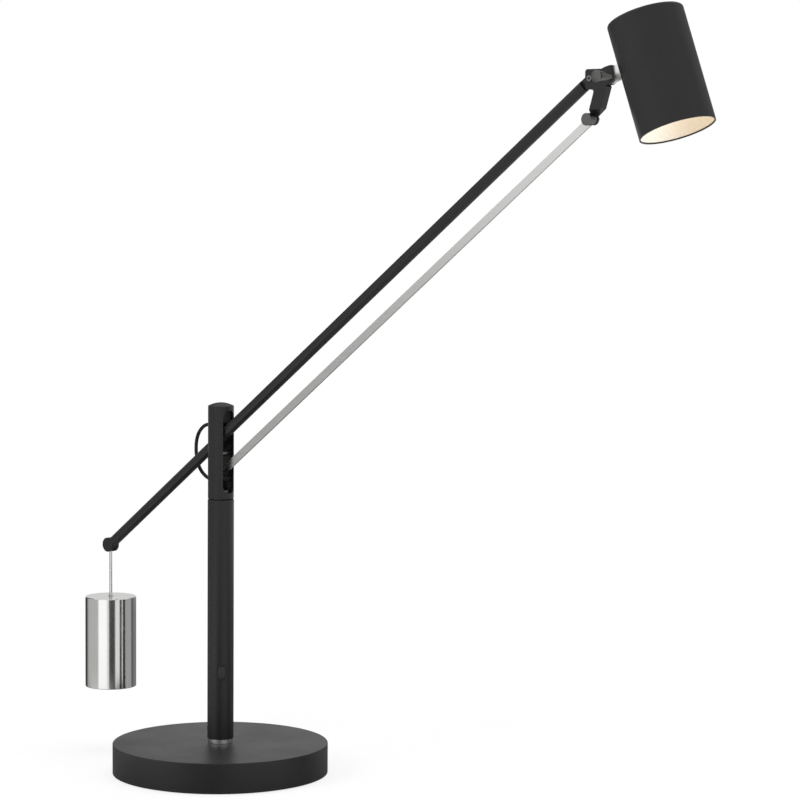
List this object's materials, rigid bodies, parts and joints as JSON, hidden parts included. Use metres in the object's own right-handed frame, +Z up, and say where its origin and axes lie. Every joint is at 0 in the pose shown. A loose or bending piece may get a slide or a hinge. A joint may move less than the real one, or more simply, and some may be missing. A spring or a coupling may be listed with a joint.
{
  "type": "balance arm desk lamp",
  "caption": "Desk lamp on a round weighted base: a slotted post head carries a long arm with a hanging steel counterweight, a flat parallel link and a small cylinder shade that tilts.",
  "frame": {"origin": "centre of the base's underside, on the table", "axes": "+Z up, +X along the arm towards the shade, -Y the side with the tilt knob"},
  "size_m": [0.7399, 0.205, 0.7096],
  "materials": {
    "stand_paint": "satin black powder coat",
    "arm_paint": "satin black powder coat",
    "base_paint": "satin black powder coat",
    "iron": "rough cast",
    "zinc_steel": "zinc plated",
    "satin_steel": "satin brushed",
    "bright_steel": "polished",
    "brass": "satin",
    "pad": "matt",
    "black_plastic": "matt",
    "knob_metal": "satin dark grey",
    "lead_sheath": "satin PVC sheath",
    "holder_plastic": "matt",
    "cap_metal": "satin",
    "bulb_glass": "frosted, warm"
  },
  "bodies": {
    "stand": {"base_cover": "base_paint", "base_weight": "iron", "base_plate": "zinc_steel", "base_plate_screws": "zinc_steel", "base_pad": "pad", "cord_gland": "black_plastic", "stem_nipple": "zinc_steel", "stem_washer": "zinc_steel", "stem_nut": "zinc_steel", "base_collar": "bright_steel", "foot_plug": "zinc_steel", "lower_post": "stand_paint", "switch_body": "black_plastic", "swivel_spigot": "brass", "swivel_nut": "zinc_steel"},
    "post_head": {"head_tube": "stand_paint", "head_bush": "black_plastic", "head_cap": "stand_paint", "pivot_yoke": "stand_paint", "yoke_screw": "zinc_steel", "arm_pivot_pin": "zinc_steel", "link_pivot_pin": "zinc_steel", "yoke_cross_bolt": "knob_metal", "link_spacers": "black_plastic", "lead_clip": "black_plastic", "cable_loop": "lead_sheath"},
    "arm": {"arm_tube": "arm_paint", "arm_bush": "black_plastic", "arm_tip_plug": "arm_paint", "tail_barrel": "arm_paint", "hang_pin": "zinc_steel"},
    "link": {"link_bar": "satin_steel"},
    "hanging_weight": {"hang_rod": "satin_steel", "counterweight": "satin_steel"},
    "lever": {"head_lever": "arm_paint", "lever_screw": "knob_metal", "link_knob": "knob_metal", "link_washer": "zinc_steel", "link_nut": "bright_steel"},
    "tilt_knob": {"thumb_knob": "knob_metal"},
    "shade": {"shade_shell": "arm_paint", "shade_bracket": "bright_steel", "bracket_screws": "zinc_steel", "holder_bracket": "zinc_steel", "lamp_holder": "holder_plastic", "holder_nut": "zinc_steel", "holder_ring": "holder_plastic", "bulb_base": "cap_metal", "bulb_glass": "bulb_glass"},
    "button": {"switch_button": "black_plastic"}
  },
  "joints": [
    {"name": "head_swivel", "type": "hinge", "parent": "stand", "child": "post_head", "pos_m": [0, 0, 0.2622], "axis": [0, 0, 1], "range_deg": [-170, 170]},
    {"name": "arm_lift", "type": "hinge", "parent": "post_head", "child": "arm", "pos_m": [0, 0, 0.3205], "axis": [0, -1, 0], "range_deg": [-46.7, 12.5]},
    {"name": "link_follow", "type": "hinge", "parent": "post_head", "child": "link", "pos_m": [0, 0, 0.2865], "axis": [0, -1, 0], "range_deg": [-46.7, 12.5]},
    {"name": "lever_level", "type": "hinge", "parent": "arm", "child": "lever", "pos_m": [0.44098, 0, 0.64919], "axis": [0, -1, 0], "range_deg": [-12.5, 46.7]},
    {"name": "weight_hang", "type": "hinge", "parent": "arm", "child": "hanging_weight", "pos_m": [-0.15506, 0, 0.20492], "axis": [0, -1, 0], "range_deg": [-12.5, 46.7]},
    {"name": "shade_tilt", "type": "hinge", "parent": "lever", "child": "shade", "pos_m": [0.46198, 0, 0.64999], "axis": [0, -1, 0], "range_deg": [-40, 65]},
    {"name": "thumb_turn", "type": "hinge", "parent": "lever", "child": "tilt_knob", "pos_m": [0.46198, 0, 0.64999], "axis": [0, -1, 0], "range_deg": [-180, 180]},
    {"name": "switch_press", "type": "slide", "parent": "stand", "child": "button", "axis": [-0.766, 0.6428, 0], "range_m": [0, 0.0013], "stiffness_N_per_m": 500, "springref_m": -0.001}
  ],
  "couplings": [
    {"joint": "link_follow", "follows": "arm_lift", "ratio": 1},
    {"joint": "lever_level", "follows": "arm_lift", "ratio": -1},
    {"joint": "weight_hang", "follows": "arm_lift", "ratio": -1}
  ]
}
